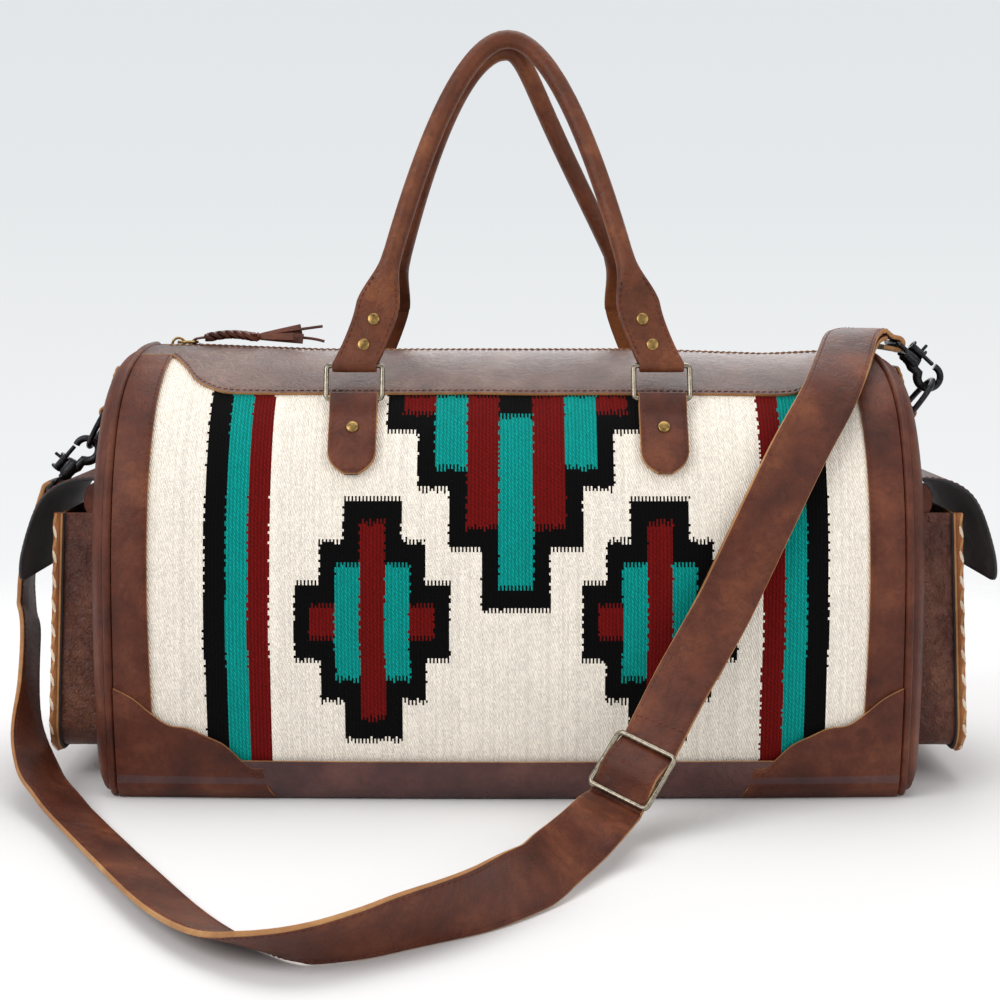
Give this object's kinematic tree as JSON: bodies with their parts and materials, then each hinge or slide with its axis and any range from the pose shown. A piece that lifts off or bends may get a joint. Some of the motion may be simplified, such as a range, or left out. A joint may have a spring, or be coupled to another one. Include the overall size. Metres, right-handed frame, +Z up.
{
  "type": "duffle bag",
  "caption": "Weekender duffle bag of patterned woven wool with leather trim, rolled handles on rings, end pockets, a zip top and a long shoulder strap.",
  "frame": {"origin": "on the ground under the middle of the bag's body, the strap left out", "axes": "+Z up, X along the bag, -Y its front"},
  "size_m": [0.6664, 0.5858, 0.501],
  "materials": {
    "woven_wool": "cream wool woven in a fine diagonal twill, with black, turquoise and dark red stepped figures and stripes",
    "leather": "waxed dark brown leather with a pull-up sheen and stitched edges",
    "strap_leather": "waxed dark brown leather with tan cut edges and stitched borders",
    "lining": "dark grey plain cloth",
    "board": "stiff dark board",
    "zip_tape": "dark brown tape with metal teeth",
    "zip_metal": "aged brass",
    "ring_metal": "aged nickel",
    "foot_metal": "aged brass",
    "hook_metal": "gunmetal"
  },
  "bodies": {
    "bag": {"front_woven_panel": "woven_wool", "front_yoke": "leather", "front_bottom_band": "leather", "front_zip_tape": "zip_tape", "front_left_side_strip": "leather", "front_left_corner": "leather", "front_left_tab": "leather", "front_left_foot": "foot_metal", "front_right_side_strip": "leather", "front_right_corner": "leather", "front_right_tab": "leather", "front_right_foot": "foot_metal", "back_woven_panel": "woven_wool", "back_yoke": "leather", "back_bottom_band": "leather", "back_zip_tape": "zip_tape", "back_left_side_strip": "leather", "back_left_corner": "leather", "back_left_tab": "leather", "back_left_foot": "foot_metal", "back_right_side_strip": "leather", "back_right_corner": "leather", "back_right_tab": "leather", "back_right_foot": "foot_metal", "base_panel": "leather", "base_board": "board", "lining": "lining", "left_end_panel": "leather", "left_piping": "leather", "left_pocket_wall": "leather", "left_pocket_face": "leather", "left_flap": "leather", "left_d_ring_tab": "leather", "left_d_ring": "hook_metal", "left_swivel_eye": "hook_metal", "right_end_panel": "leather", "right_piping": "leather", "right_pocket_wall": "leather", "right_pocket_face": "leather", "right_d_ring_tab": "leather", "right_d_ring": "hook_metal", "right_swivel_eye": "hook_metal", "strap_slider": "ring_metal", "shoulder_strap": "strap_leather", "strap_return": "strap_leather"},
    "front_rings": {"front_left_ring": "ring_metal", "front_right_ring": "ring_metal"},
    "front_handle": {"front_handle": "leather"},
    "back_rings": {"back_left_ring": "ring_metal", "back_right_ring": "ring_metal"},
    "back_handle": {"back_handle": "leather"},
    "right_flap": {"right_flap": "leather"},
    "zip_slider": {"zip_slider": "zip_metal"},
    "zip_pull": {"zip_pull_ring": "zip_metal", "zip_braid": "leather"},
    "left_hook": {"left_hook": "hook_metal"},
    "right_hook": {"right_hook": "hook_metal"},
    "left_bolt": {"left_hook_bolt": "hook_metal"},
    "right_bolt": {"right_hook_bolt": "hook_metal"}
  },
  "joints": [
    {"name": "front_rings_swing", "type": "hinge", "parent": "bag", "child": "front_rings", "pos_m": [0, -0.09243, 0.25753], "axis": [1, 0, 0], "range_deg": [0, 80]},
    {"name": "front_handle_swing", "type": "hinge", "parent": "front_rings", "child": "front_handle", "pos_m": [0, -0.08479, 0.2787], "axis": [1, 0, 0], "range_deg": [0, 100]},
    {"name": "back_rings_swing", "type": "hinge", "parent": "bag", "child": "back_rings", "pos_m": [0, 0.09243, 0.25753], "axis": [-1, 0, 0], "range_deg": [0, 80]},
    {"name": "back_handle_swing", "type": "hinge", "parent": "back_rings", "child": "back_handle", "pos_m": [0, 0.08479, 0.2787], "axis": [-1, 0, 0], "range_deg": [0, 100]},
    {"name": "right_flap_lift", "type": "hinge", "parent": "bag", "child": "right_flap", "pos_m": [0.2722, 0, 0.2035], "axis": [0, -1, 0], "range_deg": [0, 90]},
    {"name": "zip_slide", "type": "slide", "parent": "bag", "child": "zip_slider", "axis": [1, 0, 0], "range_m": [0, 0.35]},
    {"name": "zip_pull_swing", "type": "hinge", "parent": "zip_slider", "child": "zip_pull", "pos_m": [-0.229, 0, 0.29195], "axis": [0, -1, 0], "range_deg": [0, 100]},
    {"name": "left_hook_turn", "type": "hinge", "parent": "bag", "child": "left_hook", "pos_m": [-0.29488, 0, 0.21677], "axis": [-0.6601, 0, -0.7511], "range_deg": [-10, 10]},
    {"name": "left_bolt_slide", "type": "slide", "parent": "left_hook", "child": "left_bolt", "axis": [-0.6601, 0, -0.7511], "range_m": [0, 0.0045], "stiffness_N_per_m": 200},
    {"name": "right_hook_turn", "type": "hinge", "parent": "bag", "child": "right_hook", "pos_m": [0.29361, 0, 0.2677], "axis": [-0.7394, 0, 0.6733], "range_deg": [-10, 10]},
    {"name": "right_bolt_slide", "type": "slide", "parent": "right_hook", "child": "right_bolt", "axis": [-0.7394, 0, 0.6733], "range_m": [0, 0.0045], "stiffness_N_per_m": 200}
  ]
}
